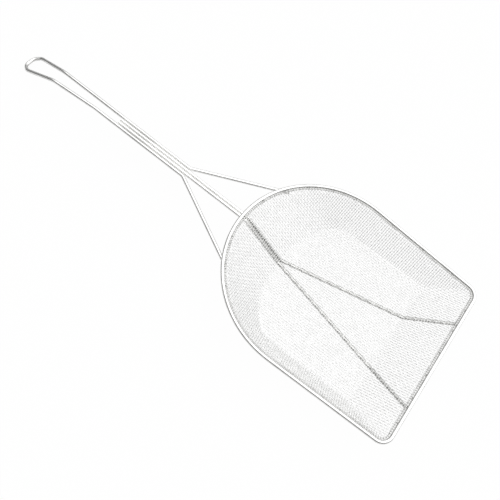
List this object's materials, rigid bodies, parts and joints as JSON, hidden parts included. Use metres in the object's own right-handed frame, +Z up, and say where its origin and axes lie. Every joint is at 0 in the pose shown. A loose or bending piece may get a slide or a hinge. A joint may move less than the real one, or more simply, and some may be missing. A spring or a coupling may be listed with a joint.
{
  "type": "wire skimmer",
  "caption": "Flat-ended wire skimmer: a shallow woven wire bowl in a D-shaped rod rim, on bent rods that run under it to a long handle with a hanging loop.",
  "frame": {"origin": "below the middle of the overall length, on the surface that the support rods stand on, on the mirror plane", "axes": "+X along the handle towards the straight front edge, +Z up out of the bowl, square to the rim's plane"},
  "size_m": [0.6, 0.2344, 0.0432],
  "materials": {
    "plated_wire": "bright plated round wire, lightly worn",
    "wire_cloth": "bright plain-woven wire cloth",
    "weld_metal": "small resistance welds, plated over"
  },
  "bodies": {
    "root": {"handle_loop": "plated_wire", "support_rod_left": "plated_wire", "support_rod_right": "plated_wire", "rim_ring": "plated_wire", "binding_wire": "plated_wire", "mesh_bowl": "wire_cloth", "mesh_hem": "wire_cloth", "bundle_welds": "weld_metal", "apex_welds": "weld_metal", "leg_welds": "weld_metal", "end_welds": "weld_metal", "hem_tacks": "weld_metal"}
  },
  "joints": []
}
